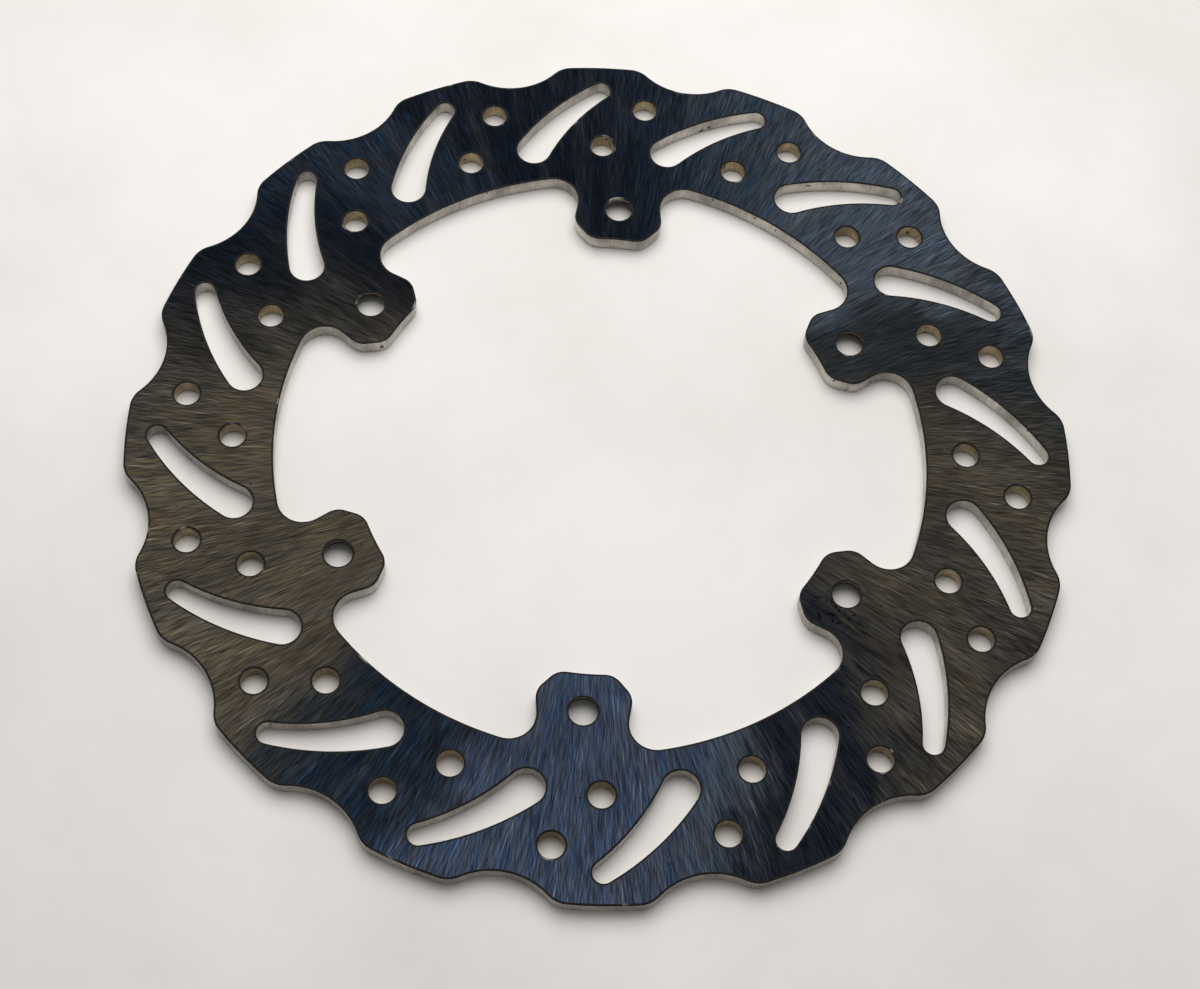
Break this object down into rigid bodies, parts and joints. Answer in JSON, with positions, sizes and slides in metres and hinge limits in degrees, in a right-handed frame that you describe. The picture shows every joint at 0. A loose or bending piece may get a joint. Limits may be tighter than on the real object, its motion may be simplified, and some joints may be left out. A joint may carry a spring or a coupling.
{
  "type": "brake disc rotor",
  "caption": "Flat one-piece motorcycle rear brake disc with a wave-cut edge, drilled holes, swept slots and inward lugs for countersunk screws.",
  "frame": {"origin": "on the axis of rotation, in the plane of the countersunk outer face, which is the lower face", "axes": "+Z along the axis of rotation, from the countersunk outer face towards the wheel hub; +Y through the middle of a lug; +X completes the right-handed frame"},
  "size_m": [0.22, 0.22, 0.004],
  "materials": {
    "disc_steel": "dark blue-black steel, both faces ground in straight fine streaks, cut edges bare grey"
  },
  "bodies": {
    "root": {"brake_disc": "disc_steel"}
  },
  "joints": []
}
